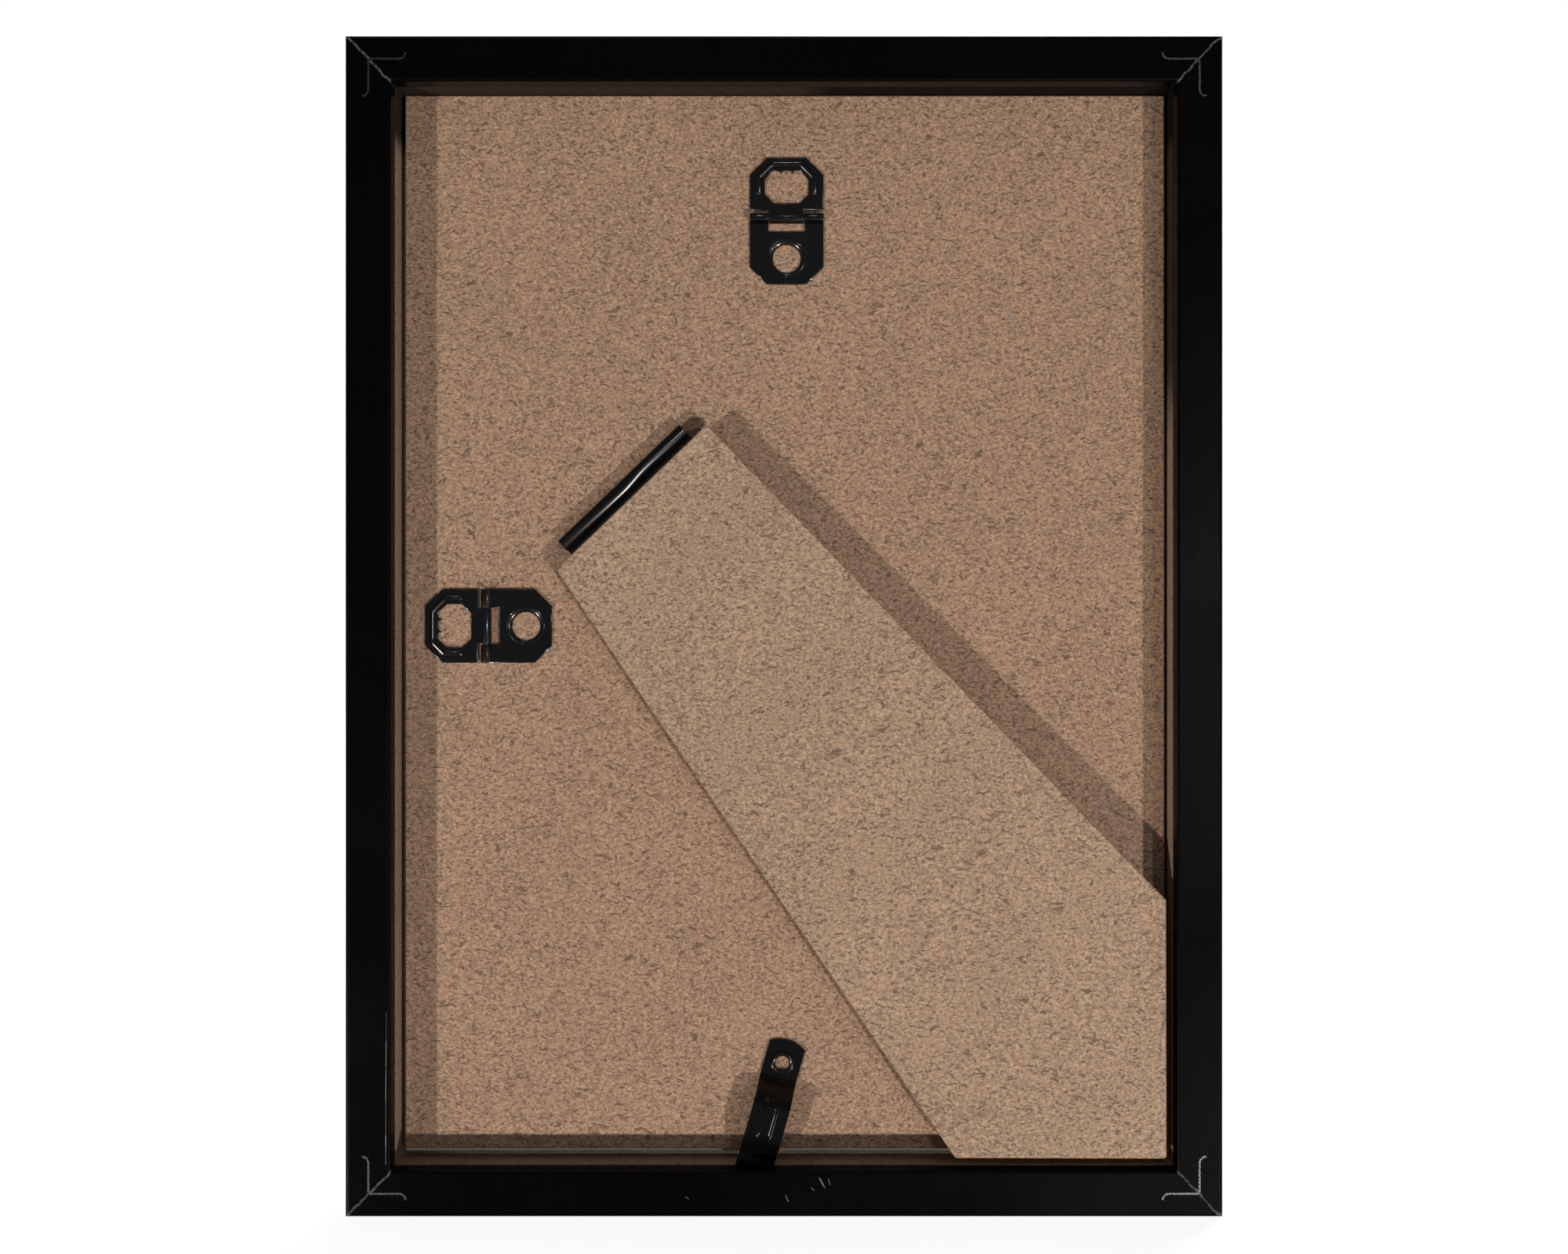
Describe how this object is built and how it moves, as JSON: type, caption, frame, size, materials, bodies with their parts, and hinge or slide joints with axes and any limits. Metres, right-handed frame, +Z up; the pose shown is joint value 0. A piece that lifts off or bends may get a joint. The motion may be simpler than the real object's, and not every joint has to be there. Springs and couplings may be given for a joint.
{
  "type": "easel back photo frame",
  "caption": "Small mitred photo frame seen with its easel back: a hinged leg that stands it upright or across, hinged sawtooth hangers, and a spring turn clip that keeps the backing board in.",
  "frame": {"origin": "middle of the frame's width and depth, at the bottom edge that it stands on when upright", "axes": "+Z up along the frame's height, +Y towards the picture's front, -Y towards the easel back, +X to the right as the back is seen"},
  "size_m": [0.1464, 0.016, 0.1971],
  "materials": {
    "moulding": "black foil wrapped on fibreboard, satin, raw fibreboard inside the rebate",
    "nail_steel": "bright, cut",
    "glass": "clear, polished",
    "paper": "blank, matt",
    "board_hardboard": "smooth pressed hardboard, matt",
    "leg_hardboard": "smooth pressed hardboard, matt",
    "hinge_enamel": "black, glossy",
    "hanger_enamel": "black, satin",
    "pin_steel": "black, satin",
    "clip_enamel": "black, glossy",
    "eyelet_enamel": "black, satin"
  },
  "bodies": {
    "frame": {"top_rail": "moulding", "bottom_rail": "moulding", "left_rail": "moulding", "right_rail": "moulding", "v_nail_top_left": "nail_steel", "v_nail_top_right": "nail_steel", "v_nail_bottom_left": "nail_steel", "v_nail_bottom_right": "nail_steel", "glass_pane": "glass", "picture_insert": "paper", "backing_board": "board_hardboard", "easel_hinge_board_leaf": "hinge_enamel", "turn_clip_eyelet": "eyelet_enamel", "top_hanger_plate": "hanger_enamel", "top_hanger_pin": "pin_steel", "side_hanger_plate": "hanger_enamel", "side_hanger_pin": "pin_steel"},
    "leg": {"easel_leg": "leg_hardboard", "easel_hinge_leg_leaf": "hinge_enamel"},
    "top_hanger": {"top_hanger_loop": "hanger_enamel"},
    "side_hanger": {"side_hanger_loop": "hanger_enamel"},
    "clip": {"turn_clip": "clip_enamel"}
  },
  "joints": [
    {"name": "easel_leg_hinge", "type": "hinge", "parent": "frame", "child": "leg", "pos_m": [-0.027, -0.00215, 0.12175], "axis": [-0.7206, 0, -0.6934], "range_deg": [0, 45]},
    {"name": "top_hanger_hinge", "type": "hinge", "parent": "frame", "child": "top_hanger", "pos_m": [0.00045, -0.00145, 0.168], "axis": [1, 0, 0], "range_deg": [0, 170]},
    {"name": "side_hanger_hinge", "type": "hinge", "parent": "frame", "child": "side_hanger", "pos_m": [-0.0507, -0.00145, 0.0986], "axis": [0, 0, 1], "range_deg": [0, 170]},
    {"name": "turn_clip_pivot", "type": "hinge", "parent": "frame", "child": "clip", "pos_m": [-0.00027, -0.0005, 0.02395], "axis": [0, 1, 0], "range_deg": [-60, 75]}
  ]
}
